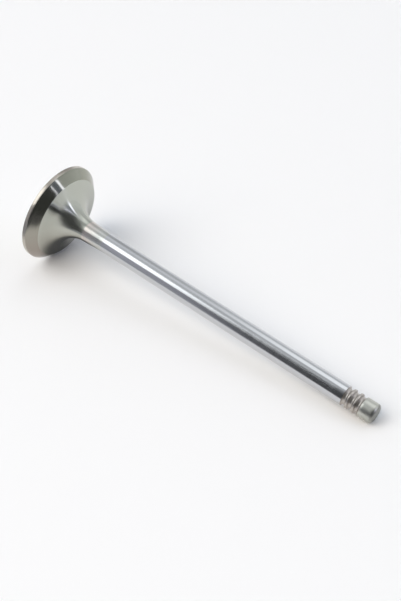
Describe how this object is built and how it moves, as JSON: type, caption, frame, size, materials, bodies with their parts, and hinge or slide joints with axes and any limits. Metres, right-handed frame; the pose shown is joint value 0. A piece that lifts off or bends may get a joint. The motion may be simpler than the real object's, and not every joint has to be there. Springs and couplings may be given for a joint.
{
  "type": "engine valve",
  "caption": "Poppet valve with a flat disc head, conical seat, tulip fillet, slim tapered neck, ground stem and round keeper grooves below the tip.",
  "frame": {"origin": "centre of the flat combustion face, on which the valve stands", "axes": "+Z along the stem's axis, from the head to the tip; X and Y lie in the combustion face"},
  "size_m": [0.041, 0.041, 0.154],
  "materials": {
    "valve_steel": "ground bright on the stem and the seat, satin turned on the head's back, the tulip and the neck, matt in the keeper grooves"
  },
  "bodies": {
    "root": {"valve": "valve_steel"}
  },
  "joints": []
}
